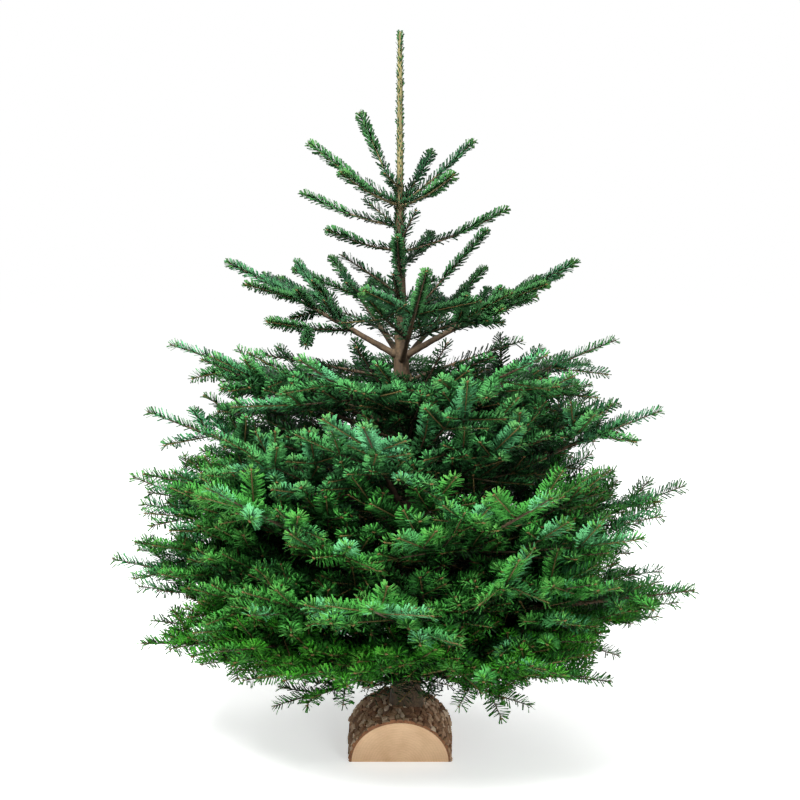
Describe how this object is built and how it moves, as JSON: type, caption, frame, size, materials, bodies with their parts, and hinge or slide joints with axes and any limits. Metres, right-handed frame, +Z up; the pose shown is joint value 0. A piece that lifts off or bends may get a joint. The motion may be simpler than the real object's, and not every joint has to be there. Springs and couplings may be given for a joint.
{
  "type": "christmas tree",
  "caption": "Cut fir with tiers of open, needled boughs and a long leader, set in a bored half log that stands on its sawn flat.",
  "frame": {"origin": "middle of the half log's flat sawn underside, on the surface that the tree stands on", "axes": "+Z up along the trunk, -Y out of the half log's forward sawn end, +X to the right when that end is looked at"},
  "size_m": [1.1899, 1.115, 1.485],
  "materials": {
    "log_bark": "thick scaly bark in grey-brown plates with orange-brown fissures",
    "sawn_wood": "pale sawn end grain and sawn underside, dry and matt",
    "bark": "smooth grey-brown young bark with leaf scars",
    "twigs": "thin yellow-brown twig bark",
    "needles": "waxy dark green needles, pale beneath, lighter at the shoot tips",
    "buds": "dry brown scaly winter buds"
  },
  "bodies": {
    "root": {"bough_ring1_1": "bark", "bough_ring1_2": "bark", "bough_ring1_3": "bark", "bough_ring1_4": "bark", "bough_ring1_5": "bark", "bough_ring2_1": "bark", "bough_ring2_2": "bark", "bough_ring2_3": "bark", "bough_ring2_4": "bark", "bough_ring2_5": "bark", "foliage_ring1_1": "needles", "foliage_ring1_2": "needles", "foliage_ring1_3": "needles", "foliage_ring1_4": "needles", "foliage_ring1_5": "needles", "foliage_ring2_1": "needles", "foliage_ring2_2": "needles", "foliage_ring2_3": "needles", "foliage_ring2_4": "needles", "foliage_ring2_5": "needles", "foliage_ring3_1": "needles", "foliage_ring3_2": "needles", "foliage_ring3_3": "needles", "foliage_ring3_4": "needles", "foliage_ring3_5": "needles", "foliage_ring4_1": "needles", "foliage_ring4_2": "needles", "foliage_ring4_3": "needles", "foliage_ring4_4": "needles", "foliage_ring4_5": "needles", "foliage_ring4_6": "needles", "foliage_ring5_1": "needles", "foliage_ring5_2": "needles", "foliage_ring5_3": "needles", "foliage_ring5_4": "needles", "foliage_ring5_5": "needles", "foliage_ring6_1": "needles", "foliage_ring6_2": "needles", "foliage_ring6_3": "needles", "foliage_ring6_4": "needles", "foliage_ring6_5": "needles", "foliage_ring7_1": "needles", "foliage_ring7_2": "needles", "foliage_ring7_3": "needles", "foliage_ring7_4": "needles", "half_log_stand": "log_bark", "leader_needles": "needles", "top_shoot_1": "needles", "top_shoot_2": "needles", "top_shoot_3": "needles", "top_shoot_4": "needles", "top_shoot_5": "needles", "top_shoot_6": "needles", "trunk": "bark", "upper_shoot_1": "needles", "upper_shoot_2": "needles", "upper_shoot_3": "needles", "upper_shoot_4": "needles", "upper_shoot_5": "needles"}
  },
  "joints": []
}
